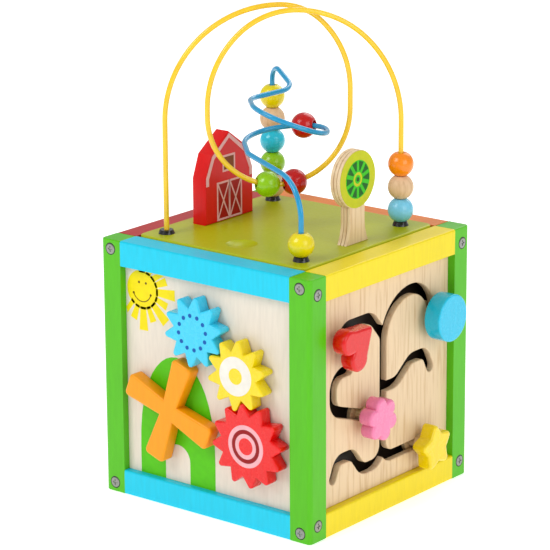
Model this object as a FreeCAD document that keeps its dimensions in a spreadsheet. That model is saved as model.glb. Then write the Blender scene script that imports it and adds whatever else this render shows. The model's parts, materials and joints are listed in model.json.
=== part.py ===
import FreeCAD, Part
import math
import os

# A wooden activity cube: four posts and eight rails carry four play panels (meshing gears
# with a windmill, a slot maze with sliding knobs, a shape sorter and a clock), and a lift-off
# lid carries two bent wires strung with beads, a barn and a tree.
# Frame: millimetres, +Z up, origin under the middle of the cube, gears facing -Y.

SIZES = {
    "cube_width": 198, "cube_height": 200, "post_side": 18.8, "post_round": 3.5, "rail_height": 19.3,
    "edge_round": 1.5, "rim_round": 1, "panel_recess": 5.9, "panel_thick": 6,
    "screw_head": 8, "screw_shank": 4, "screw_length": 12, "screw_inset": 9.3,
    "lid_side": 159, "lid_thick": 12, "lid_top": 201.5, "lid_corner": 6,
    "dimple_width": 24, "dimple_depth": 3, "dimple_back": 53.5,
    "batten_wide": 9, "batten_high": 8, "floor_thick": 6,
    "wire_thick": 4, "wire_leg": 64, "right_leg": 61.5, "cap_width": 12.5, "cap_high": 3,
    "bead_width": 19.6, "bead_high": 17.4, "bead_bore": 5, "bend_bore": 7.6,
    "gear_thick": 11.5, "gear_gap": 0.4, "tooth_round": 2.3, "axle_thick": 8,
    "running_gap": 0.05, "face_left": 3,
    "sail_reach": 41.8, "sail_root": 6.2, "sail_tip": 9.6, "sail_corner": 3.5,
    "slot_width": 8.5, "knob_stem": 7.5, "knob_stand": 6.5, "knob_thick": 12, "disc_thick": 14, "disc_width": 36.5, "stem_washer": 18,
    "barn_wide": 59, "barn_thick": 13, "tree_ply": 4.5, "tree_crown": 44,
    "backing_thick": 3, "backing_out": 75, "sorter_hole": 32, "block_gap": 1.5, "block_long": 30,
    "hand_thick": 3, "dial_pin": 6,
}

doc = FreeCAD.newDocument("ActivityCube")
sheet = doc.addObject("Spreadsheet::Sheet", "Sizes")
for row, (alias, value) in enumerate(SIZES.items(), 1):
    sheet.set(f"A{row}", alias)
    sheet.set(f"B{row}", str(value))
    sheet.setAlias(f"B{row}", alias)
doc.recompute()

UP = FreeCAD.Vector(0, 0, 1)
parts = []


def vec(x, y, z):
    return FreeCAD.Vector(x, y, z)


def cell(alias):
    return float(sheet.get(alias))


def bind(obj, **expressions):
    """Bind properties to the sheet; X, Y and Z stand for the placement's base."""
    for name, text in expressions.items():
        path = f"Placement.Base.{name.lower()}" if name in "XYZ" else name
        for alias in sorted(SIZES, key=len, reverse=True):
            text = text.replace(f"<{alias}>", f"Sizes.{alias}")
        obj.setExpression(path, text)
    return obj


def keep(obj, name):
    """Name a finished sub-part; its label is also its file's name."""
    obj.Label = name
    parts.append(obj)
    return obj


def primitive(kind, name, **expressions):
    return bind(doc.addObject(f"Part::{kind}", name), **expressions)


def cut(name, base, tools):
    """Take the tool shapes out of the base, as one Part::Cut per tool."""
    for index, tool in enumerate(tools):
        step = doc.addObject("Part::Cut", f"{name}_cut_{index}")
        step.Base = base
        step.Tool = tool
        base = step
    return base


def feature(name, shape):
    made = doc.addObject("Part::Feature", name)
    made.Shape = shape
    return made


def rounded(name, base, radius, wanted):
    """Fillet the edges of base for which wanted(edge) is true."""
    doc.recompute()
    made = doc.addObject("Part::Fillet", name)
    made.Base = base
    numbers = [i for i, edge in enumerate(base.Shape.Edges, 1) if wanted(edge)]
    made.Edges = [(number, radius, radius) for number in numbers]
    return made


def route(corners):
    """A wire through corner points: straight runs joined by tangent arcs of the given radii."""
    points = [corner[0] for corner in corners]
    edges = []
    start = points[0]
    for before, (corner, radius), after in zip(points, corners[1:-1], points[2:]):
        arriving = (corner - before).normalize()
        leaving = (after - corner).normalize()
        turn = arriving.getAngle(leaving)
        reach = radius * math.tan(turn / 2)
        first = corner - arriving * reach
        last = corner + leaving * reach
        inward = (leaving - arriving).normalize()
        middle = corner + inward * (radius / math.cos(turn / 2) - radius)
        if first.distanceToPoint(start) > 0.001:
            edges.append(Part.LineSegment(start, first).toShape())
        edges.append(Part.Arc(first, middle, last).toShape())
        start = last
    if start.distanceToPoint(points[-1]) > 0.001:
        edges.append(Part.LineSegment(start, points[-1]).toShape())
    return Part.Wire(edges)


def outline(points, depth):
    """A prism over a closed polygon, pushed along the depth vector."""
    return Part.Face(Part.makePolygon(points + points[:1])).extrude(depth)


# ---- frame: posts, rails, screws, floor and lid battens ----------------------------------

half = cell("cube_width") / 2
height = cell("cube_height")
post = cell("post_side")
rail = cell("rail_height")
inner = half - post
panel_face = half - cell("panel_recess")

SIDES = {"front": 0, "right": 90, "rear": 180, "left": 270}


def on_side(side, across, out, level):
    """A point given as seen from outside one face: across to the right, out from the middle."""
    turn = FreeCAD.Rotation(UP, SIDES[side])
    return turn.multVec(vec(across, -out, level))


def make_posts():
    corners = {"front_left": (-1, -1), "front_right": (1, -1), "rear_right": (1, 1), "rear_left": (-1, 1)}
    for where, (sx, sy) in corners.items():
        box = primitive("Box", f"post_box_{where}", Length="<post_side>", Width="<post_side>",
                        Height="<cube_height>",
                        X="<cube_width> / 2 - <post_side>" if sx > 0 else "-<cube_width> / 2",
                        Y="<cube_width> / 2 - <post_side>" if sy > 0 else "-<cube_width> / 2")

        def outer(edge, sx=sx, sy=sy):
            middle = edge.BoundBox.Center
            return edge.BoundBox.ZLength > 1 and middle.x * sx > half - 1 and middle.y * sy > half - 1
        post_body = rounded(f"post_round_{where}", box, cell("post_round"), outer)

        def rim(edge):
            return edge.BoundBox.ZLength < 0.01
        keep(rounded(f"post_rim_{where}", post_body, cell("rim_round"), rim), f"post_{where}")


def make_rails():
    for side, angle in SIDES.items():
        for level in ("bottom", "top"):
            box = primitive("Box", f"rail_{side}_{level}", Length="<cube_width> - 2 * <post_side>",
                            Width="<post_side>", Height="<rail_height>")
            lift = 0 if level == "bottom" else height - rail
            box.Placement = FreeCAD.Placement(on_side(side, -inner, half, lift), FreeCAD.Rotation(UP, angle))

            def exposed(edge, side=side, lift=lift):
                middle = on_side(side, 0, half, lift + rail)
                low = on_side(side, 0, half, lift)
                ends = [middle] if lift else [low, middle]
                return any(edge.BoundBox.Center.distanceToPoint(end) < 0.01 for end in ends)
            rail_body = rounded(f"rail_round_{side}_{level}", box, cell("edge_round"), exposed)
            keep(rail_body, f"{side}_{level}_rail")


SCREW_LEVELS = {"front_rear": (7.5, 192.7), "left_right": (12.5, 187.5)}


def make_screws(crossed):
    """Screws, two at the end of every rail, staggered so that neighbours miss; crossed heads or plain."""
    radius = cell("screw_head") / 2
    across = half - cell("screw_inset")
    solids = []
    for side in SIDES:
        levels = SCREW_LEVELS["front_rear"] if side in ("front", "rear") else SCREW_LEVELS["left_right"]
        for level in levels:
            for hand in (-1, 1):
                head = Part.makeCylinder(radius, 0.8, vec(0, 0, -0.5), UP)
                dome = Part.makeSphere(12, vec(0, 0, 0.8 - 12))
                head = head.common(dome)
                shank = Part.makeCylinder(cell("screw_shank") / 2, cell("screw_length"),
                                          vec(0, 0, -0.5 - cell("screw_length")), UP)
                for angle in (0, 90) if crossed else ():
                    slot = Part.makeBox(4.4, 1.1, 2, vec(-2.2, -0.55, -0.2))
                    slot.rotate(vec(0, 0, 0), UP, angle)
                    head = head.cut(slot)
                screw = head.fuse(shank).removeSplitter()
                screw.rotate(vec(0, 0, 0), vec(1, 0, 0), 90)
                screw.rotate(vec(0, 0, 0), UP, SIDES[side])
                screw.translate(on_side(side, hand * across, half, level))
                solids.append(screw)
    return Part.makeCompound(solids)


def drill_posts(screws):
    """Cut every post where its screws sit, so that wood and steel meet face to face."""
    for index, made in enumerate(list(parts)):
        if made.Label.startswith("post_"):
            name = made.Label
            made.Label = f"{name}_blank"
            tool = doc.addObject("Part::Cut", f"{name}_drilled")
            tool.Base = made
            tool.Tool = screws
            parts[index] = tool
            tool.Label = name


make_posts()
make_rails()
keep(feature("screw_group", make_screws(True)), "corner_screws")
drill_posts(feature("screw_space", make_screws(False)))

keep(primitive("Box", "floor", Length="<cube_width> - 2 * <post_side>", Width="<cube_width> - 2 * <post_side>",
               Height="<floor_thick>", X="<post_side> - <cube_width> / 2", Y="<post_side> - <cube_width> / 2"),
     "bottom_board")


def make_battens():
    """Four strips inside the top rails, on which the lid rests."""
    top = cell("lid_top") - cell("lid_thick") - 0.3
    high = cell("batten_high")
    wide = cell("batten_wide")
    strips = []
    for side, angle in SIDES.items():
        strip = Part.makeBox(2 * (inner - wide - 1), wide, high, vec(-inner + wide + 1, -inner, top - high))
        strip.rotate(vec(0, 0, 0), UP, angle)
        strips.append(strip)
    return Part.makeCompound(strips)


keep(feature("battens", make_battens()), "lid_battens")


# ---- the four panels ---------------------------------------------------------------------

def panel(side):
    box = primitive("Box", f"panel_{side}", Length="<cube_width> - 2 * <post_side>", Width="<panel_thick>",
                    Height="<cube_height> - 2 * <rail_height>")
    box.Placement = FreeCAD.Placement(on_side(side, -inner, panel_face, rail), FreeCAD.Rotation(UP, SIDES[side]))
    return box


def cylinder_out(side, across, level, out, radius, length):
    """A cylinder along a face's outward direction, starting at distance out."""
    axis = on_side(side, 0, 1, 0)
    return Part.makeCylinder(radius, length, on_side(side, across, out, level), axis)


# Gears: centre across and level, number of teeth, tip and root radius, turn of the first tooth.
YELLOW = vec(34.9, 0, 118.3)
BLUE = YELLOW + vec(math.cos(math.radians(148)), 0, math.sin(math.radians(148))) * 48
RED = YELLOW + vec(math.cos(math.radians(280)), 0, math.sin(math.radians(280))) * 52.8
GEARS = {"yellow_gear": (YELLOW, 10, 27.1, 18.5, 14), "blue_gear": (BLUE, 10, 27.1, 18.5, 12),
         "red_gear": (RED, 12, 32.2, 24.2, 6.7)}
SAILS = vec(-31.3, 0, 77.8)
gear_back = panel_face + cell("gear_gap")
gear_front = gear_back + cell("gear_thick")
axle = cell("axle_thick") / 2


def gear_wire(teeth, tip, root, first):
    """Petal teeth: straight flanks from shared valleys, tangent to a round tip."""
    ball = cell("tooth_round")
    pitch = 2 * math.pi / teeth
    edges = []
    for tooth in range(teeth):
        middle = math.radians(first) + tooth * pitch
        centre = vec(math.cos(middle), 0, math.sin(middle)) * (tip - ball)
        crown = vec(math.cos(middle), 0, math.sin(middle)) * tip
        valleys = [vec(math.cos(middle + s * pitch / 2), 0, math.sin(middle + s * pitch / 2)) * root
                   for s in (-1, 1)]
        touch = []
        for valley, hand in zip(valleys, (-1, 1)):
            away = valley - centre
            lean = math.acos(ball / away.Length)
            spin = FreeCAD.Rotation(vec(0, -1, 0), math.degrees(-hand * lean))
            touch.append(centre + spin.multVec(away.normalize() * ball))
        edges.append(Part.LineSegment(valleys[0], touch[0]).toShape())
        edges.append(Part.Arc(touch[0], crown, touch[1]).toShape())
        edges.append(Part.LineSegment(touch[1], valleys[1]).toShape())
    return Part.Wire(edges)


def bored(shape, centre):
    """A blind running bore from behind, so that the painted face stays whole."""
    bore = axle + cell("running_gap")
    depth = cell("gear_thick") - cell("face_left")
    return shape.cut(cylinder_out("front", centre.x, centre.z, gear_back - 1, bore, depth + 1))


def make_gear(centre, teeth, tip, root, first):
    body = Part.Face(gear_wire(teeth, tip, root, first)).extrude(vec(0, -cell("gear_thick"), 0))
    body.translate(vec(centre.x, -gear_back, centre.z))
    return bored(body, centre)


def make_sails():
    """Four arms that widen from the middle to flat ends with rounded corners."""
    reach, thick = cell("sail_reach"), cell("gear_thick")
    root, tip = cell("sail_root"), cell("sail_tip")
    shape = None
    for arm in range(4):
        points = [vec(0, -gear_back, -root), vec(reach, -gear_back, -tip),
                  vec(reach, -gear_back, tip), vec(0, -gear_back, root)]
        sail = outline(points, vec(0, -thick, 0))
        ends = [e for e in sail.Edges if e.BoundBox.YLength > 1 and e.BoundBox.XMin > reach - 1]
        sail = sail.makeFillet(cell("sail_corner"), ends)
        sail.rotate(vec(0, 0, 0), vec(0, -1, 0), 69.5 + 90 * arm)
        shape = shape.fuse(sail) if shape else sail
    shape = shape.removeSplitter()
    shape.translate(SAILS)
    return bored(shape, SAILS)


for name, (centre, teeth, tip, root, first) in GEARS.items():
    keep(feature(f"{name}_body", make_gear(centre, teeth, tip, root, first)), name)
keep(feature("sail_body", make_sails()), "windmill_sails")

AXLES = [centre for centre, *_ in GEARS.values()] + [SAILS]


def make_axles():
    start = panel_face - cell("panel_thick")
    end = gear_front - cell("face_left") - cell("gear_gap")
    return Part.makeCompound([cylinder_out("front", centre.x, centre.z, start, axle, end - start)
                              for centre in AXLES])


pegs = keep(feature("peg_group", make_axles()), "gear_axles")
keep(cut("gear_panel", panel("front"), [pegs]), "gear_panel")

# Track panel: slot centre lines as (across, level) corners with the radius of each bend.
CHANNEL = -2.5
TRACKS = [
    [(-55, 140), (-55, 153, 12), (-17, 153, 15), (CHANNEL, 136, 10), (CHANNEL, 58)],
    [(CHANNEL, 110), (CHANNEL, 163, 35.5), (58, 163, 25), (58, 137.5)],
    [(CHANNEL, 95), (14, 95, 16), (33, 109, 14), (51, 109, 9), (57.5, 96.5)],
    [(-44, 119.5), (-63.5, 119.5, 13), (-63.5, 92, 12), (CHANNEL, 72)],
    [(CHANNEL, 60), (CHANNEL, 37.5, 14), (-28, 37.5, 12), (-40, 53, 11), (-58, 53, 9), (-64, 40)],
    [(CHANNEL, 60), (CHANNEL, 39, 12), (43, 39)],
]


def slot_tool(corners):
    """The space of one slot: its centre line widened to both sides with round ends."""
    line = route([(on_side("right", corner[0], panel_face - 20, corner[1]), *corner[2:]) if len(corner) > 2
                  else (on_side("right", corner[0], panel_face - 20, corner[1]),) for corner in corners])
    border = line.makeOffset2D(cell("slot_width") / 2, 0, False, False)
    return Part.Face(border).extrude(vec(30, 0, 0))


slots = feature("slot_space", slot_tool(TRACKS[0]).multiFuse([slot_tool(track) for track in TRACKS[1:]]))
keep(cut("track", panel("right"), [slots]), "track_panel")

# Knobs: where each stem stands in its slot, across and level, and how far the knob is turned.
KNOBS = {"heart": (-54.3, 145.1, 125), "flower": (-26, 79.7, 12), "circle": (58, 138, 0), "star": (43, 39, 8)}
knob_back = panel_face + cell("knob_stand")


def polar(radius, degrees):
    return radius * math.cos(math.radians(degrees)), radius * math.sin(math.radians(degrees))


def knob_shape(kind):
    """Each knob is a thick plaque facing +X about its own middle."""
    thick = cell("disc_thick") if kind == "circle" else cell("knob_thick")
    push = vec(thick, 0, 0)
    if kind == "circle":
        shape = Part.makeCylinder(cell("disc_width") / 2, thick, vec(0, 0, 0), vec(1, 0, 0))
    elif kind == "flower":
        shape = Part.makeCylinder(12, thick, vec(0, 0, 0), vec(1, 0, 0))
        for petal in range(6):
            y, z = polar(10.6, 60 * petal + 30)
            shape = shape.fuse(Part.makeCylinder(6.4, thick, vec(0, y, z), vec(1, 0, 0)))
    elif kind == "star":
        points = [vec(0, *polar(20.5 if i % 2 == 0 else 12, 90 + 36 * i)) for i in range(10)]
        shape = outline(points, push)
    else:
        lobe = 9.4
        shape = outline([vec(0, -16.5, 3.2), vec(0, 0, -18.5), vec(0, 16.5, 3.2), vec(0, 0, 10)], push)
        for hand in (-1, 1):
            shape = shape.fuse(Part.makeCylinder(lobe, thick, vec(0, hand * 8.9, 7.6), vec(1, 0, 0)))
    shape = shape.removeSplitter()
    if kind in ("star", "heart"):
        upright = [e for e in shape.Edges if e.BoundBox.XLength > 1 and e.BoundBox.ZLength < 0.01]
        outer = [e for e in upright if e.BoundBox.Center.distanceToPoint(vec(thick / 2, 0, 0)) > 17]
        shape = shape.makeFillet(3.2, outer)
    if kind != "circle":
        return shape
    return shape.makeFillet(1.2, [e for e in shape.Edges if e.BoundBox.XLength < 0.01])


def stem_shape():
    """A stem through the slot, with a collar in front of the panel and a washer behind it."""
    gap = 0.4
    radius = cell("knob_stem") / 2
    washer = cell("stem_washer") / 2
    back = -cell("knob_stand") - cell("panel_thick")
    shaft = Part.makeCylinder(radius, 3 + gap - back, vec(back - gap - 3, 0, 0), vec(1, 0, 0))
    collar = Part.makeCylinder(washer - 2, cell("knob_stand") - gap, vec(gap - cell("knob_stand"), 0, 0),
                               vec(1, 0, 0))
    plate = Part.makeCylinder(washer, 3, vec(back - gap - 3, 0, 0), vec(1, 0, 0))
    return shaft.fuse([collar, plate]).removeSplitter()


for kind, (across, level, turn) in KNOBS.items():
    spot = FreeCAD.Placement(vec(knob_back, across, level), FreeCAD.Rotation(vec(1, 0, 0), turn))
    for name, shape in ((f"{kind}_knob", knob_shape(kind)), (f"{kind}_knob_stem", stem_shape())):
        keep(feature(f"{name}_body", shape), name).Placement = spot

# A dark board behind the slots hides the inside of the cube and keeps blocks off the stems.
keep(primitive("Box", "backing", Length="<backing_thick>", Width="<cube_width> - 2 * <post_side>",
               Height="<lid_top> - <lid_thick> - <batten_high> - <floor_thick> - 1", X="<backing_out>",
               Y="<post_side> - <cube_width> / 2", Z="<floor_thick>"), "maze_backing")

# Shape sorter: four holes in the rear panel and the blocks that fit them.
HOLES = {"square": (-36, 62), "round": (36, 62), "triangle": (-36, 136), "hexagon": (36, 136)}
CORNERS = {"square": 4, "triangle": 3, "hexagon": 6}


def prism(kind, size, length):
    """A bar of one block's section along -Y, flat side down, from y = 0."""
    push = vec(0, -length, 0)
    if kind == "round":
        return Part.makeCylinder(size / 2, length, vec(0, 0, 0), vec(0, -1, 0))
    sides = CORNERS[kind]
    radius = size * {3: 0.62, 4: 0.66, 6: 0.56}[sides]
    turns = [90 + 180 / sides * (sides % 2 == 0) + 360 / sides * i for i in range(sides)]
    return outline([vec(x, 0, z) for x, z in (polar(radius, turn) for turn in turns)], push)


def make_hole(kind, across, level):
    tool = prism(kind, cell("sorter_hole"), 30)
    tool.translate(vec(across, half + 5, level))
    return tool


tools = [feature(f"{kind}_hole", make_hole(kind, *spot)) for kind, spot in HOLES.items()]
keep(cut("sorter", panel("rear"), tools), "sorter_panel")

BLOCK_SPOTS = {"square": (-36, -20), "round": (36, -20), "triangle": (-36, 45), "hexagon": (36, 45)}
floor_top = cell("floor_thick") + 0.3
for kind, (x, y) in BLOCK_SPOTS.items():
    block = prism(kind, cell("sorter_hole") - cell("block_gap"), cell("block_long"))
    ends = [e for e in block.Edges if e.BoundBox.YLength < 0.01]
    block = block.makeFillet(1.0, ends)
    made = keep(feature(f"{kind}_block_body", block), f"{kind}_block")
    made.Placement = FreeCAD.Placement(vec(x, y, floor_top - block.BoundBox.ZMin), FreeCAD.Rotation())

# Clock: a pin in the left panel carries two hands.
DIAL_LEVEL = 100
pin = cell("dial_pin") / 2
hand_thick = cell("hand_thick")


def make_hand(length, wide, layer, turn):
    """A pointed hand on its own layer in front of the panel, turned clockwise from upright."""
    out = panel_face + 0.3 + layer * (hand_thick - 0.9)
    thick = hand_thick - 1.2
    points = [(-wide / 2, -10), (-wide / 2, length - 8), (0, length), (wide / 2, length - 8), (wide / 2, -10)]
    flat = [on_side("left", across, out, DIAL_LEVEL + level) for across, level in points]
    hand = outline(flat, on_side("left", 0, thick, 0))
    hub = cylinder_out("left", 0, DIAL_LEVEL, out, 8, thick)
    bore = cylinder_out("left", 0, DIAL_LEVEL, out - 1, pin + cell("running_gap"), 6)
    hand.rotate(vec(-half, 0, DIAL_LEVEL), vec(1, 0, 0), turn)
    return hand.fuse(hub).removeSplitter().cut(bore)


HANDS = {"hour_hand": (36, 9, 0, 305), "minute_hand": (52, 7, 1, 60)}
for name, sizes in HANDS.items():
    keep(feature(f"{name}_body", make_hand(*sizes)), name)
pin_front = panel_face + 4.8
pin_shape = cylinder_out("left", 0, DIAL_LEVEL, panel_face - 6, pin, pin_front + 6 - panel_face)
pin_shape = pin_shape.fuse(cylinder_out("left", 0, DIAL_LEVEL, pin_front, 5.5, 1.1)).removeSplitter()
dial = keep(feature("clock_pin_body", pin_shape), "clock_pin")
keep(cut("clock", panel("left"), [dial]), "clock_panel")


# ---- lid, barn, tree and wires -----------------------------------------------------------

top = cell("lid_top")
leg = cell("wire_leg")
right_leg = cell("right_leg")
LEGS = [(-leg, -leg), (leg, -leg), (right_leg, right_leg), (-leg, leg)]


def diagonal(along, forward, level):
    """Along runs left to right and forward to the viewer, both on the cube's diagonals."""
    return vec((along + forward) / math.sqrt(2), (along - forward) / math.sqrt(2), level)


FOOT = leg * math.sqrt(2)
RIGHT_FOOT = right_leg * math.sqrt(2)
WIRE_BASE = top - cell("lid_thick")
LOOP = 54.6
YELLOW_ROUTE = [
    (-FOOT, 0, WIRE_BASE), (-FOOT, 0, 372, 85), (14.5, -6, 372, 46), (49.5, -8, 337, 73),
    (49.5, -8, 236.5, LOOP), (-59.5, 8, 236.5, LOOP), (-59.5, 8, 328.9, 76), (-19.1, 5.5, 369.3, 61),
    (38.9, 2.7, 369.3, 78), (RIGHT_FOOT, 0, 318.5, 90), (RIGHT_FOOT, 0, WIRE_BASE)]
BLUE_ROUTE = [
    (0, -FOOT, WIRE_BASE), (0, -FOOT, 312, 11), (12, -50, 299, 16), (-25, -26, 297, 20),
    (-25.5, 28.5, 298, 27.5), (31, 28.5, 276.6, 28), (31, -31, 276.6, 29.5), (-31, -31, 270, 30),
    (-31, 22, 266, 20), (0, FOOT, 258, 30), (0, FOOT, WIRE_BASE)]


def make_wire(name, corners):
    """A round wire bent along its route; its volume is compared with section times length."""
    path = route([(diagonal(*corner[:3]), *corner[3:]) for corner in corners])
    radius = cell("wire_thick") / 2
    ring = Part.Wire([Part.makeCircle(radius, diagonal(*corners[0][:3]), UP)])
    solid = Part.BRepOffsetAPI.MakePipeShell(path)
    solid.add(ring)
    solid.build()
    solid.makeSolid()
    shape = solid.shape()
    wanted = math.pi * radius ** 2 * path.Length
    if abs(shape.Volume / wanted - 1) > 0.02:
        raise RuntimeError(f"{name}: wire volume {shape.Volume:.0f}, wanted {wanted:.0f}")
    return shape


for name, corners in (("yellow_wire", YELLOW_ROUTE), ("blue_wire", BLUE_ROUTE)):
    keep(feature(f"{name}_body", make_wire(name, corners)), name)


def make_caps():
    """Domed collars, with four notches, where the wires enter the lid."""
    radius = cell("cap_width") / 2
    high = cell("cap_high")
    caps = []
    for x, y in LEGS:
        cap = Part.makeCone(radius, radius - 1.2, high, vec(x, y, top), UP)
        for turn in range(4):
            notch = Part.makeBox(3, 2, high, vec(radius - 1.6, -1, 1.2))
            notch.rotate(vec(0, 0, 0), UP, 45 + 90 * turn)
            notch.translate(vec(x, y, top))
            cap = cap.cut(notch)
        caps.append(cap.cut(Part.makeCylinder(cell("wire_thick") / 2, 10, vec(x, y, top - 1), UP)))
    return Part.makeCompound(caps)


keep(feature("cap_group", make_caps()), "wire_end_caps")

lid = primitive("Box", "lid_blank", Length="<lid_side>", Width="<lid_side>", Height="<lid_thick>",
                X="-<lid_side> / 2", Y="-<lid_side> / 2", Z="<lid_top> - <lid_thick>")
lid = rounded("lid_corners", lid, cell("lid_corner"), lambda edge: edge.BoundBox.ZLength > 1)
lid = rounded("lid_edge", lid, cell("edge_round"), lambda edge: edge.BoundBox.ZMin > top - 0.01)
dish_radius = (cell("dimple_width") ** 2 / 4 + cell("dimple_depth") ** 2) / (2 * cell("dimple_depth"))
dish = Part.makeSphere(dish_radius, vec(0, -cell("dimple_back"), top - cell("dimple_depth") + dish_radius))
holes = [Part.makeCylinder(cell("wire_thick") / 2, 40, vec(x, y, top - 20), UP) for x, y in LEGS]
lid_tools = feature("lid_space", Part.makeCompound([dish] + holes))
keep(cut("lid", lid, [lid_tools]), "lid_board")

BARN_FACE = -53.5
BARN_MIDDLE = -2.2
WALL, SHOULDER, APEX, SHOULDER_SHARE = 36, 54.5, 70, 0.76


def make_barn():
    """A barn with a broken roof line, standing on the lid and facing +X."""
    side = cell("barn_wide") / 2
    profile = [(-side, 0), (-side, WALL), (-side * SHOULDER_SHARE, SHOULDER), (0, APEX),
               (side * SHOULDER_SHARE, SHOULDER), (side, WALL), (side, 0)]
    back = BARN_FACE - cell("barn_thick")
    barn = outline([vec(back, BARN_MIDDLE + y, top + z) for y, z in profile], vec(cell("barn_thick"), 0, 0))
    rims = [e for e in barn.Edges if e.BoundBox.XLength < 0.01 and e.BoundBox.ZMax > top + 1]
    return barn.makeFillet(1.2, rims)


TREE_FACE = 67
CROWN_LEVEL = 48.5
TRUNK_HALF, FLARE_HALF, FOOT_HALF, FLARE_LEVEL, FOOT_LEVEL = 9.2, 10.4, 13.5, 18, 8


def make_tree():
    """Two layers of ply: a round crown on a trunk that flares at its foot."""
    ply = cell("tree_ply")
    crown = cell("tree_crown") / 2
    layers = []
    for layer in range(2):
        back = TREE_FACE - ply * (layer + 1)
        neck = top + CROWN_LEVEL - 12
        sides = []
        for hand in (-1, 1):
            foot = vec(back, hand * FOOT_HALF, top)
            knee = vec(back, hand * TRUNK_HALF, top + FLARE_LEVEL)
            flare = Part.Arc(foot, vec(back, hand * FLARE_HALF, top + FOOT_LEVEL), knee).toShape()
            stem = Part.LineSegment(knee, vec(back, hand * TRUNK_HALF, neck)).toShape()
            sides += [flare, stem]
        for half_width, level in ((TRUNK_HALF, neck), (FOOT_HALF, top)):
            ends = vec(back, -half_width, level), vec(back, half_width, level)
            sides.append(Part.LineSegment(*ends).toShape())
        trunk = Part.Face(Part.Wire(Part.sortEdges(sides)[0])).extrude(vec(ply, 0, 0))
        disc = Part.makeCylinder(crown, ply, vec(back, 0, top + CROWN_LEVEL), vec(1, 0, 0))
        layers.append(trunk.fuse(disc).removeSplitter())
    return Part.makeCompound(layers)


keep(feature("barn_body", make_barn()), "barn")
keep(feature("tree_body", make_tree()), "tree")


# ---- beads -------------------------------------------------------------------------------

def make_bead(bore_width):
    """A ball with flat ends, bored for the wire, standing on z = 0."""
    radius, high = cell("bead_width") / 2, cell("bead_high")
    ball = Part.makeSphere(radius, vec(0, 0, high / 2))
    slab = Part.makeCylinder(radius + 1, high, vec(0, 0, 0), UP)
    bore = Part.makeCylinder(bore_width / 2, high + 2, vec(0, 0, -1), UP)
    return ball.common(slab).cut(bore)


BEAD_GAP = 0.4
bead_step = cell("bead_high") + BEAD_GAP
bead_floor = top + cell("cap_high") + BEAD_GAP
STACKS = {
    (-leg, leg): ["rear_natural_bead_low", "rear_green_bead", "rear_blue_bead", "rear_natural_bead_high",
                  "rear_yellow_bead"],
    (right_leg, right_leg): ["right_pale_blue_bead", "right_natural_bead", "right_orange_bead"],
    (leg, -leg): ["front_yellow_bead"],
}


def place_bead(name, centre, axis, bore_width):
    """Set a bead's middle at centre with its bore along axis."""
    spin = FreeCAD.Rotation(UP, axis)
    middle = spin.multVec(vec(0, 0, cell("bead_high") / 2))
    bead = keep(feature(f"{name}_body", make_bead(bore_width)), name)
    bead.Placement = FreeCAD.Placement(centre - middle, spin)


for (x, y), names in STACKS.items():
    for index, name in enumerate(names):
        middle = bead_floor + cell("bead_high") / 2 + index * bead_step
        place_bead(name, vec(x, y, middle), UP, cell("bead_bore"))


def bead_on_bend(name, before, corner, after, radius, turn_back):
    """Set a bead on the arc between two runs, turned back from the arc's middle by an angle."""
    arriving = (corner - before).normalize()
    leaving = (after - corner).normalize()
    normal = arriving.cross(leaving).normalize()
    turn = arriving.getAngle(leaving)
    inward = (leaving - arriving).normalize()
    centre = corner + inward * (radius / math.cos(turn / 2))
    spin = FreeCAD.Rotation(normal, -turn_back)
    middle = centre + spin.multVec(inward * -radius)
    place_bead(name, middle, spin.multVec(normal.cross(inward * -1)), cell("bend_bore"))
    print(name, "hinge centre", centre, "axis", normal)


yellow_points = [diagonal(*corner[:3]) for corner in YELLOW_ROUTE]
blue_points = [diagonal(*corner[:3]) for corner in BLUE_ROUTE]
bead_on_bend("loop_red_bead", *yellow_points[3:6], LOOP, -33.5)
bead_on_bend("loop_green_bead", *yellow_points[4:7], LOOP, 35.5)
bead_on_bend("spiral_red_bead", *blue_points[5:8], 29.5, -14)


# ---- check and write ---------------------------------------------------------------------

doc.recompute()
for obj in doc.Objects:
    if "Invalid" in obj.State or "Error" in obj.State:
        raise RuntimeError(f"{obj.Name}: {obj.State}")
os.makedirs("parts", exist_ok=True)
for obj in parts:
    if obj.Shape.isNull() or not obj.Shape.isValid():
        raise RuntimeError(f"{obj.Label}: shape is null or invalid")
    obj.Shape.exportStep(f"parts/{obj.Label}.step")
print(len(parts), "parts written")
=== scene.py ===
import json
import math
import bmesh
import bpy
from mathutils import Matrix, Vector


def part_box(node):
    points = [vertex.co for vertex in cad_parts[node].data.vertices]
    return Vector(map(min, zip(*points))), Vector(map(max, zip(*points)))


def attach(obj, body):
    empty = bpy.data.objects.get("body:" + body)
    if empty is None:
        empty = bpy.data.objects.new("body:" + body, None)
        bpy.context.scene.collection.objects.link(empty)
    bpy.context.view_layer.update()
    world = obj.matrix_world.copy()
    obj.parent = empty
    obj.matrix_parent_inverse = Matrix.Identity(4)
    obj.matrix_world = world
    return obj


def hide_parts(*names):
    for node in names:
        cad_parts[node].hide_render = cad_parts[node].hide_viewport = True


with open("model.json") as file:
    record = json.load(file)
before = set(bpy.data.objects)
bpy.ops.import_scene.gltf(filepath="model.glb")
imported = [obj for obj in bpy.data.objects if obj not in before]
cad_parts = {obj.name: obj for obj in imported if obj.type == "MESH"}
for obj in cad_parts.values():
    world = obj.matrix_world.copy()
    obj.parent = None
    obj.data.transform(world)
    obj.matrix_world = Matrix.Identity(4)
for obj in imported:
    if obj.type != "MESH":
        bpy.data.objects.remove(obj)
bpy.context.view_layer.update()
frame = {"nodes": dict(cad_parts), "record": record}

MM = 0.001
bodies = frame["record"]["behaviour"]["bodies"]
node_body = {node: body for body, nodes in bodies.items() for node in nodes}
node_slot = {part["node"]: part["material_slot"] for part in frame["record"]["subparts"]}


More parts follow.
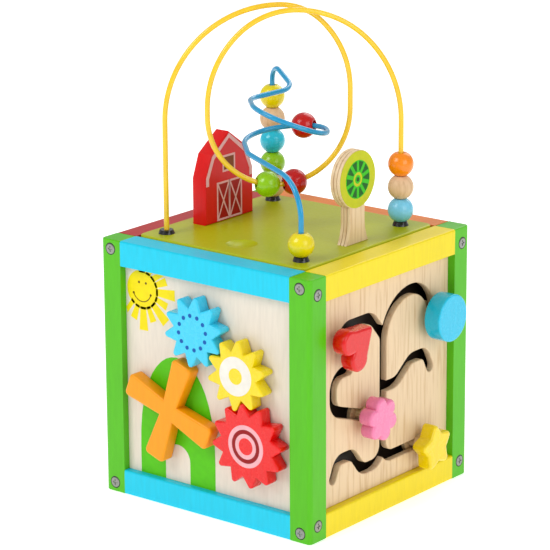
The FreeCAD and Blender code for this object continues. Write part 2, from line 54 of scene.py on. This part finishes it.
def linear(colour):
    """sRGB values of 0 to 255 as a linear colour."""
    channels = [c / 255 for c in colour]
    return [c / 12.92 if c <= 0.04045 else ((c + 0.055) / 1.055) ** 2.4 for c in channels] + [1]


# ---- materials ---------------------------------------------------------------------------

SPECULAR = 0.22
PAINT_TONE = 0.82
TIMBER_TONE = 0.86


class Nodes:
    """A material's node tree with short calls for what the finishes share."""

    def __init__(self, name, roughness, coat=0.0, metallic=0.0):
        self.material = bpy.data.materials.new(name)
        self.material.use_nodes = True
        self.tree = self.material.node_tree
        self.shader = self.tree.nodes["Principled BSDF"]
        self.shader.inputs["Roughness"].default_value = roughness
        self.shader.inputs["Coat Weight"].default_value = coat
        self.shader.inputs["Specular IOR Level"].default_value = SPECULAR
        self.shader.inputs["Coat Roughness"].default_value = 0.12
        self.shader.inputs["Metallic"].default_value = metallic
        self.place = self.tree.nodes.new("ShaderNodeTexCoord").outputs["Object"]

    def link(self, source, target):
        self.tree.links.new(source, target)

    def noise(self, scale, stretch=(1, 1, 1), detail=3.0):
        mapping = self.tree.nodes.new("ShaderNodeMapping")
        mapping.inputs["Scale"].default_value = stretch
        texture = self.tree.nodes.new("ShaderNodeTexNoise")
        texture.inputs["Scale"].default_value = scale
        texture.inputs["Detail"].default_value = detail
        self.link(self.place, mapping.inputs["Vector"])
        self.link(mapping.outputs["Vector"], texture.inputs["Vector"])
        return texture.outputs["Fac"]

    def ramp(self, source, stops):
        ramp = self.tree.nodes.new("ShaderNodeValToRGB")
        elements = ramp.color_ramp.elements
        while len(elements) < len(stops):
            elements.new(0.5)
        for element, (position, colour) in zip(elements, stops):
            element.position = position
            element.color = colour
        self.link(source, ramp.inputs["Fac"])
        return ramp.outputs["Color"]

    def bump(self, source, distance, strength=0.4):
        bump = self.tree.nodes.new("ShaderNodeBump")
        bump.inputs["Distance"].default_value = distance
        bump.inputs["Strength"].default_value = strength
        self.link(source, bump.inputs["Height"])
        self.link(bump.outputs["Normal"], self.shader.inputs["Normal"])

    def rough(self, source, low, high):
        spread = self.tree.nodes.new("ShaderNodeMapRange")
        spread.inputs["To Min"].default_value = low
        spread.inputs["To Max"].default_value = high
        self.link(source, spread.inputs["Value"])
        self.link(spread.outputs["Result"], self.shader.inputs["Roughness"])


def vivid(colour, strength=1.14, tone=PAINT_TONE):
    """A linear colour moved away from its own grey and darkened, for the bright soft light."""
    grey = 0.2 * colour[0] + 0.7 * colour[1] + 0.1 * colour[2]
    return [min(1, max(0.001, tone * (grey + (c - grey) * strength))) for c in colour[:3]] + [1]


def shade(colour, factor):
    return [min(1, c * factor) for c in colour[:3]] + [1]


def painted(name, colour, gloss=0.18):
    """Satin paint over wood: faint grain in the colour and in the surface, and orange peel."""
    base = vivid(linear(colour))
    nodes = Nodes(name, 0.38, coat=gloss)
    grain_noise = nodes.noise(60, (8, 8, 1), 5)
    nodes.link(nodes.ramp(grain_noise, [(0.3, shade(base, 0.95)), (0.7, shade(base, 1.03))]),
               nodes.shader.inputs["Base Color"])
    smooth = 0.12 if gloss > 0.3 else 0
    nodes.rough(nodes.noise(220), 0.32 - smooth, 0.46 - smooth)
    nodes.bump(grain_noise, 0.0002, 0.25)
    return nodes.material


def timber(name, light, dark, along):
    """Clear-lacquered wood with fine grain running along one axis."""
    stretch = [1 if axis == along else 14 for axis in "xyz"]
    nodes = Nodes(name, 0.45, coat=0.12)
    grain = nodes.noise(26, stretch, 8)
    light, dark = shade(linear(light), TIMBER_TONE), shade(linear(dark), TIMBER_TONE)
    nodes.link(nodes.ramp(grain, [(0.25, dark), (0.5, light), (0.8, shade(light, 1.06))]),
               nodes.shader.inputs["Base Color"])
    nodes.bump(grain, 0.0002, 0.3)
    return nodes.material


def printed(name, colour):
    """Flat printing ink, slightly uneven in tone and gloss; also used for the painted shade in the
    screw countersinks.
    """
    base = vivid(linear(colour))
    nodes = Nodes(name, 0.42)
    mottle = nodes.noise(180)
    nodes.link(nodes.ramp(mottle, [(0.3, shade(base, 0.94)), (0.7, shade(base, 1.04))]),
               nodes.shader.inputs["Base Color"])
    nodes.rough(mottle, 0.36, 0.5)
    return nodes.material


def coated_metal(name, colour, roughness=0.22, metallic=0.0):
    base = linear(colour)
    nodes = Nodes(name, roughness, coat=0.6, metallic=metallic)
    drift = nodes.noise(90)
    nodes.link(nodes.ramp(drift, [(0.3, shade(base, 0.93)), (0.7, shade(base, 1.05))]),
               nodes.shader.inputs["Base Color"])
    nodes.bump(nodes.noise(400), 0.00005, 0.2)
    return nodes.material


LIGHT_PLY, DARK_PLY = (240, 212, 172), (216, 178, 132)
PAINTS = {
    "post_green": (104, 196, 6), "rail_blue": (72, 212, 240), "rail_yellow": (252, 230, 0),
    "rail_red": (186, 8, 16), "rail_orange": (242, 138, 14), "lid_lime": (190, 196, 4),
    "gear_blue": (92, 214, 246),
    "gear_yellow": (252, 226, 0), "gear_red": (236, 26, 36), "sail_orange": (255, 168, 0),
    "knob_red": (226, 36, 36), "knob_pink": (250, 142, 182), "knob_cyan": (0, 202, 236),
    "knob_yellow": (255, 228, 0),
    "bead_yellow": (246, 228, 0), "bead_blue": (80, 206, 232), "bead_green": (160, 212, 18),
    "bead_red": (200, 10, 22), "bead_orange": (255, 150, 12), "bead_pale": (142, 216, 246),
    "barn_red": (226, 12, 14),
}
GLOSSY = ("bead", "knob", "gear")
materials = {slot: painted(f"paint_{slot}", colour, gloss=0.55 if slot.startswith(GLOSSY) else 0.18)
             for slot, colour in PAINTS.items()}
# painted shade: a near-black board behind the slots stands for the shade inside the closed box
materials["dark_board"] = painted("painted_shade_backing", (44, 36, 30), gloss=0.0)
materials["panel_cream"] = painted("cream_face", (242, 232, 218), gloss=0.1)
materials["ply"] = timber("ply_face", LIGHT_PLY, DARK_PLY, "z")
materials["bare_wood"] = timber("bare_birch", (236, 206, 160), (206, 166, 118), "x")
materials["bead_natural"] = timber("bead_birch", (234, 198, 156), (210, 168, 124), "z")
materials["wire_yellow"] = coated_metal("yellow_coating", (240, 196, 36))
materials["wire_blue"] = coated_metal("blue_coating", (22, 146, 194))
materials["cap_black"] = coated_metal("black_caps", (20, 20, 22), 0.3)
materials["steel"] = coated_metal("zinc_steel", (138, 140, 134), 0.3, 1.0)

INKS = {
    "tower_green": (108, 206, 4), "sun_yellow": (255, 234, 0), "smile_brown": (110, 84, 10),
    "dot_blue": (20, 96, 176),
    "ring_white": (250, 246, 236), "ring_pink": (248, 190, 196), "ring_maroon": (150, 12, 28),
    "trim_pink": (250, 196, 200), "door_brown": (176, 30, 16), "loft_brown": (136, 70, 12),
    "leaf_lime": (204, 208, 0), "leaf_green": (84, 200, 24), "leaf_dark": (16, 98, 22),
    "outline_blue": (40, 150, 200), "outline_red": (220, 40, 40), "dial_dark": (60, 60, 66),
    # painted shade: the post green as it looks darkened inside the screw countersinks
    "countersink_painted_shade": (40, 46, 30),
}
inks = {name: printed(name, colour) for name, colour in INKS.items()}


def dress(piece, material):
    piece.data.materials.clear()
    piece.data.materials.append(material)


def adopt(piece, body):
    bpy.context.scene.collection.objects.link(piece)
    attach(piece, body)
    return piece


# ---- CAD outlines rebuilt with rounded edges ---------------------------------------------

TURNS = {"front": 0, "right": 90, "rear": 180, "left": 270}


def side_matrix(side, out):
    """From a flat outline, across and up, to a face seen from outside at distance out."""
    turn = Matrix.Rotation(math.radians(TURNS[side]), 4, "Z")
    stand = Matrix.Rotation(math.radians(90), 4, "X")
    return turn @ Matrix.Translation((0, -out * MM, 0)) @ stand


def flat_faces(work, level):
    """The faces that look outwards and lie on the plane at the given level."""
    return {face for face in work.faces
            if face.normal.z > 0.99 and abs(face.calc_center_median().z - level) < 0.00005}


def outlines_of(node, side):
    """The closed outlines of a node's outermost flat face, in metres, and its depth range."""
    work = bmesh.new()
    work.from_mesh(frame["nodes"][node].data)
    bmesh.ops.remove_doubles(work, verts=work.verts, dist=0.00001)
    work.transform(side_matrix(side, 0).inverted())
    work.normal_update()
    depths = [vertex.co.z for vertex in work.verts]
    chosen = flat_faces(work, max(depths))
    following = {}
    for face in chosen:
        for loop in face.loops:
            if not any(other in chosen for other in loop.edge.link_faces if other is not face):
                following[loop.vert.index] = loop.link_loop_next.vert.index
    points = {vertex.index: (vertex.co.x, vertex.co.y) for vertex in work.verts}
    work.free()
    loops = []
    while following:
        index, after = following.popitem()
        loop = [points[index]]
        while after in following:
            loop.append(points[after])
            after = following.pop(after)
        loops.append(loop)
    return loops, min(depths), max(depths)


def flat_mesh(name, outlines, half_thick, edge=0.0):
    """A filled outline with thickness and, where edge is given, rounded edges."""
    curve = bpy.data.curves.new(name, "CURVE")
    curve.dimensions = "2D"
    curve.fill_mode = "BOTH"
    curve.extrude = half_thick - edge
    curve.bevel_depth = edge
    curve.bevel_resolution = 2
    curve.offset = -edge
    for points in outlines:
        spline = curve.splines.new("POLY")
        spline.points.add(len(points) - 1)
        for point, (x, y) in zip(spline.points, points):
            point.co = (x, y, 0, 1)
        spline.use_cyclic_u = True
    flat = bpy.data.objects.new(f"{name}_curve", curve)
    bpy.context.scene.collection.objects.link(flat)
    mesh = bpy.data.meshes.new_from_object(flat)
    bpy.data.objects.remove(flat)
    mesh.shade_smooth()
    mesh.set_sharp_from_angle(angle=math.radians(32))
    return mesh


def board(node, side, edge, layers=1, seam=0.0):
    """A flat node rebuilt from its own outline, in one or more layers, with rounded edges."""
    loops, low, high = outlines_of(node, side)
    thick = (high - low) / layers
    pieces = []
    for layer in range(layers):
        name = f"soft_{node}" if layers == 1 else f"soft_{node}_{layer}"
        mesh = flat_mesh(name, loops, (thick - seam) / 2, edge)
        mesh.transform(side_matrix(side, (low + thick * (layer + 0.5)) / MM))
        piece = bpy.data.objects.new(name, mesh)
        adopt(piece, node_body[node])
        dress(piece, materials[node_slot[node]])
        pieces.append(piece)
    for piece in pieces:
        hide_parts(node)
    return pieces


for node, shown in frame["nodes"].items():
    dress(shown, materials[node_slot[node]])
ROUNDING = {
    "front": {"red_gear": 1.2, "yellow_gear": 1.2, "blue_gear": 1.2, "windmill_sails": 1.6,
              "gear_panel": 0.1},
    "right": {"heart_knob": 2.2, "flower_knob": 2.0, "star_knob": 1.8, "track_panel": 0.8,
              "barn": 1.0},
    "rear": {"sorter_panel": 0.5},
    "left": {"hour_hand": 0.4, "minute_hand": 0.4},
}
for side, edges in ROUNDING.items():
    for node, edge in edges.items():
        board(node, side, edge * MM)
board("tree", "right", 0.5 * MM, layers=3, seam=0.35 * MM)

# ---- flat prints, and painted shade in the screw countersinks ----------------------------

def circle(x, y, radius, steps=64):
    turns = [2 * math.pi * step / steps for step in range(steps)]
    return [(x + radius * math.cos(turn), y + radius * math.sin(turn)) for turn in turns]


def ring(x, y, outer, inner):
    return [circle(x, y, outer), circle(x, y, inner)]


def stroke(points, width):
    """An open line widened to both sides."""
    left, right = [], []
    for index, (x, y) in enumerate(points):
        x0, y0 = points[max(index - 1, 0)]
        x1, y1 = points[min(index + 1, len(points) - 1)]
        length = math.hypot(x1 - x0, y1 - y0)
        nx, ny = -(y1 - y0) / length * width / 2, (x1 - x0) / length * width / 2
        left.append((x + nx, y + ny))
        right.append((x - nx, y - ny))
    return left + right[::-1]


def ink(name, outlines, side, out, colour, body, thick=0.12):
    """A thin print, or a thin layer of painted shade: closed outlines in mm, of which a second one
    inside the first is a hole.
    """
    metres = [[(x * MM, y * MM) for x, y in points] for points in outlines]
    mesh = flat_mesh(name, metres, thick / 2 * MM)
    mesh.transform(side_matrix(side, out + thick / 2))
    piece = bpy.data.objects.new(name, mesh)
    adopt(piece, body)
    dress(piece, inks[colour])
    return piece


def box_of(node):
    low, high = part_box(node)
    return [v / MM for v in low], [v / MM for v in high]


FRONT = -box_of("gear_panel")[0][1]
GEAR_FRONT = -box_of("red_gear")[0][1]
RIGHT = box_of("track_panel")[1][0]
REAR = box_of("sorter_panel")[1][1]
LEFT = -box_of("clock_panel")[0][0]
RAIL = box_of("gear_panel")[0][2]
RAIL_TOP = box_of("gear_panel")[1][2]
EDGE = box_of("gear_panel")[0][0]


def centre_of(node):
    """The turning centre of a gear or the sails, across and up, from its joint."""
    for joint in frame["record"]["behaviour"]["joints"]:
        if joint["child"] == node_body[node]:
            return joint["pos_m"][0] / MM, joint["pos_m"][2] / MM
    raise ValueError(node)


def paint_gear_panel():
    sx, _ = centre_of("windmill_sails")
    foot, crest, crown_turn = 36.5, 117, 11
    tower = [(sx + foot, RAIL)]
    for step in range(crown_turn * 2 + 1):
        turn = math.radians(90 * step / crown_turn)
        tower.append((sx + foot * math.cos(turn), 40 + (crest - 40) * math.sin(turn) ** 0.86))
    tower.append((sx - foot, RAIL))
    door_half, spring = 12.1, 36.5
    turns = [math.radians(angle) for angle in range(0, 181, 12)]
    arch = [(sx + door_half * math.cos(turn), spring + door_half * math.sin(turn)) for turn in turns]
    door = [(sx + door_half, RAIL + 0.1)] + arch + [(sx - door_half, RAIL + 0.1)]
    ink("tower_print", [tower, door], "front", FRONT, "tower_green", "frame")
    cx, cy, disc = -63.5, 164, 15.2

    def inside(points):
        return [(max(x, EDGE), min(y, RAIL_TOP)) for x, y in points]
    ink("sun_disc", [inside(circle(cx, cy, disc))], "front", FRONT, "sun_yellow", "frame",
        0.1)
    long_ray, short_ray = (31.5, 4.3), (25.5, 3.2)
    for index in range(11):
        angle = 226 + 22.5 * index
        reach, half = long_ray if index % 2 == 0 and index else short_ray
        c, s = math.cos(math.radians(angle)), math.sin(math.radians(angle))
        root = half * 0.62
        corners = ((disc - 2, -root), (reach, -half), (reach, half), (disc - 2, root))
        points = inside([(cx + r * c - w * s, cy + r * s + w * c) for r, w in corners])
        ink(f"sun_ray_{index}", [points], "front", FRONT, "sun_yellow", "frame", 0.1)
    lift, smile_wide = FRONT + 0.11, 8.8
    turns = [math.radians(angle) for angle in range(200, 346, 9)]
    smile = [(cx - 0.5 + smile_wide * math.cos(turn), cy - 0.5 + smile_wide * math.sin(turn))
             for turn in turns]
    ink("sun_smile", [stroke(smile, 0.7)], "front", lift, "smile_brown", "frame")
    dots = (smile[0], smile[-1], (cx - 3.4, cy + 5.5), (cx + 3.4, cy + 5.5))
    for index, (x, y) in enumerate(dots):
        ink(f"sun_dot_{index}", [circle(x, y, 0.95, 20)], "front", lift, "smile_brown", "frame")


def paint_gears():
    x, y = centre_of("blue_gear")
    for dot in range(12):
        angle = math.radians(30 * dot + 8)
        spot = circle(x + 13 * math.cos(angle), y + 13 * math.sin(angle), 1.6, 24)
        ink(f"blue_gear_dot_{dot}", [spot], "front", GEAR_FRONT, "dot_blue", "blue_gear")
    ink("yellow_gear_ring", ring(*centre_of("yellow_gear"), 14.9, 6.2), "front", GEAR_FRONT,
        "ring_white", "yellow_gear")
    red = centre_of("red_gear")
    rings = (("outer", 16.3, 12.9, "ring_pink"), ("middle", 12.9, 9.7, "ring_maroon"),
             ("inner", 9.7, 6.5, "ring_pink"))
    for name, outer, inner, colour in rings:
        ink(f"red_gear_{name}_ring", ring(*red, outer, inner), "front", GEAR_FRONT, colour,
            "red_gear")


def paint_barn():
    low, high = box_of("barn")
    face = high[0]
    middle = (low[1] + high[1]) / 2
    base, side = low[2], (high[1] - low[1]) / 2
    wall_in, shoulder_in = side - 3.6, side * 0.76 - 3.4
    roof = [(-wall_in, 30), (-wall_in, 36), (-shoulder_in, 51), (0, 65.5), (shoulder_in, 51),
            (wall_in, 36), (wall_in, 30)]
    ink("barn_roof_trim", [stroke([(middle + x, base + y) for x, y in roof], 3.4)], "right", face,
        "trim_pink", "lid")

    def corners_of(x0, y0, x1, y1):
        return [(middle + x, base + y) for x, y in ((x0, y0), (x1, y0), (x1, y1), (x0, y1))]

    def frame_of(name, x0, y0, x1, y1, width, fill):
        outer = corners_of(x0, y0, x1, y1)
        inner = corners_of(x0 + width, y0 + width, x1 - width, y1 - width)
        ink(f"{name}_frame", [outer, inner], "right", face, "trim_pink", "lid")
        ink(f"{name}_fill", [inner], "right", face, fill, "lid", 0.08)
    frame_of("barn_loft", -8, 38, 7, 51, 1.6, "loft_brown")
    for name, x0, x1 in (("barn_door_left", -15, 0.5), ("barn_door_right", -0.5, 15)):
        frame_of(name, x0, 1.0, x1, 31, 1.5, "door_brown")
        left, right = middle + x0 + 1, middle + x1 - 1
        for index, (start, end) in enumerate(((2, 30), (30, 2))):
            line = [(left, base + start), (right, base + end)]
            ink(f"{name}_brace_{index}", [stroke(line, 1.3)], "right", face + 0.06 * (index + 1),
                "trim_pink", "lid")


def paint_tree():
    low, high = box_of("tree")
    crown = (high[1] - low[1]) / 2
    y, z, face = (low[1] + high[1]) / 2, high[2] - crown, high[0]
    ink("tree_crown_print", [circle(y, z, crown - 0.5)], "right", face, "leaf_lime", "lid",
        0.08)
    ink("tree_leaf_ring", ring(y, z, 14.5, 5.4), "right", face + 0.08, "leaf_green", "lid")
    for leaf in range(10):
        a = 36 * leaf
        points = []
        for radius, width in ((6.6, 5), (6.6, -5), (13.9, -11.5), (13.9, 11.5)):
            turn = math.radians(a + width)
            points.append((y + radius * math.cos(turn), z + radius * math.sin(turn)))
        ink(f"tree_leaf_{leaf}", [points], "right", face + 0.2, "leaf_dark", "lid")
    ink("tree_heart", [circle(y, z, 3.3)], "right", face + 0.08, "leaf_green", "lid")
    ink("tree_core", [circle(y, z, 1.7)], "right", face + 0.2, "leaf_dark", "lid")


def paint_clock():
    level = 100
    ink("dial_face", [circle(0, level, 66)], "left", LEFT, "ring_white", "frame",
        0.1)
    ink("dial_ring", ring(0, level, 68, 64), "left", LEFT, "outline_red", "frame",
        0.14)
    for hour in range(12):
        turn = math.radians(30 * hour)
        x, y = 54 * math.cos(turn), level + 54 * math.sin(turn)
        main = hour % 3 == 0
        ink(f"dial_mark_{hour}", [circle(x, y, 4.6 if main else 2.8, 32)], "left", LEFT + 0.1,
            "outline_blue" if main else "dial_dark", "frame")


def paint_sorter():
    for index, opening in enumerate(frame["record"]["physics"]["openings"]):
        if not opening["name"].endswith("_hole"):
            continue
        (x0, _, z0), (x1, _, z1) = [[v / MM for v in corner] for corner in opening["box_m"]]
        colour = ("tower_green", "outline_red", "sun_yellow", "outline_blue")[index % 4]
        rim = ring(-(x0 + x1) / 2, (z0 + z1) / 2, 29, 26)
        ink(f"sorter_ring_{index}", rim, "rear", REAR, colour, "frame")


SCREW_LEVELS = {"front": (7.5, 192.7), "rear": (7.5, 192.7), "right": (12.5, 187.5),
                "left": (12.5, 187.5)}
SCREW_ACROSS = 89.7
POST_FACE = 99


def paint_countersink_shade():
    """Painted shade in the countersinks: dark rings round the screw heads."""
    for side in TURNS:
        for level in SCREW_LEVELS[side]:
            for hand in (-1, 1):
                sink = ring(hand * SCREW_ACROSS, level, 4.7, 3.9)
                ink(f"sink_{side}_{level:.0f}_{hand + 1}", sink, side, POST_FACE, "countersink_painted_shade",
                    "frame", 0.05)


paint_gear_panel()
paint_gears()
paint_barn()
paint_tree()
paint_clock()
paint_sorter()
paint_countersink_shade()

# ---- camera, light and floor -------------------------------------------------------------

def add_camera():
    data = bpy.data.cameras.new("camera")
    data.lens, data.sensor_width = 182.28, 36
    data.clip_end = 50
    camera = bpy.data.objects.new("camera", data)
    forward = Vector((-0.59944, 0.75251, -0.27277)).normalized()
    level = Vector((math.cos(math.radians(38.54)), math.sin(math.radians(38.54)), 0))
    roll = math.radians(-0.32)
    upward = level.cross(forward)
    right = level * math.cos(roll) + upward * math.sin(roll)
    camera.matrix_world = Matrix((right, right.cross(forward), -forward)).transposed().to_4x4()
    camera.matrix_world.translation = Vector((1.2583, -1.5938, 0.74115))
    bpy.context.scene.collection.objects.link(camera)
    bpy.context.scene.camera = camera


def add_light(name, place, target, size, power):
    data = bpy.data.lights.new(name, "AREA")
    data.size, data.energy = size, power
    light = bpy.data.objects.new(name, data)
    light.location = place
    light.rotation_euler = (Vector(target) - Vector(place)).to_track_quat("-Z", "Y").to_euler()
    bpy.context.scene.collection.objects.link(light)


def add_stage():
    bpy.context.scene.view_settings.view_transform = "Standard"
    world = bpy.data.worlds.new("studio")
    world.use_nodes = True
    world.node_tree.nodes["Background"].inputs["Color"].default_value = (1, 1, 1, 1)
    world.node_tree.nodes["Background"].inputs["Strength"].default_value = 0.52
    bpy.context.scene.world = world
    bpy.ops.mesh.primitive_plane_add(size=40, location=(0, 0, -0.0002))
    floor = bpy.context.object
    floor.name = "studio_floor"
    nodes = Nodes("pale_floor", 0.7)
    nodes.link(nodes.ramp(nodes.noise(6), [(0.3, (0.86, 0.86, 0.86, 1)), (0.7, (0.9, 0.9, 0.9, 1))]),
               nodes.shader.inputs["Base Color"])
    nodes.shader.inputs["Emission Color"].default_value = (1, 1, 1, 1)
    nodes.shader.inputs["Emission Strength"].default_value = 0.55
    dress(floor, nodes.material)
    add_light("key", (-0.6, -1.6, 1.7), (0, 0, 0.15), 1.1, 21)
    add_light("fill", (1.8, -0.4, 1.0), (0, 0, 0.15), 1.2, 12)
    add_light("rim", (-0.3, 1.5, 1.5), (0, 0, 0.2), 1.4, 14)


add_camera()
add_stage()
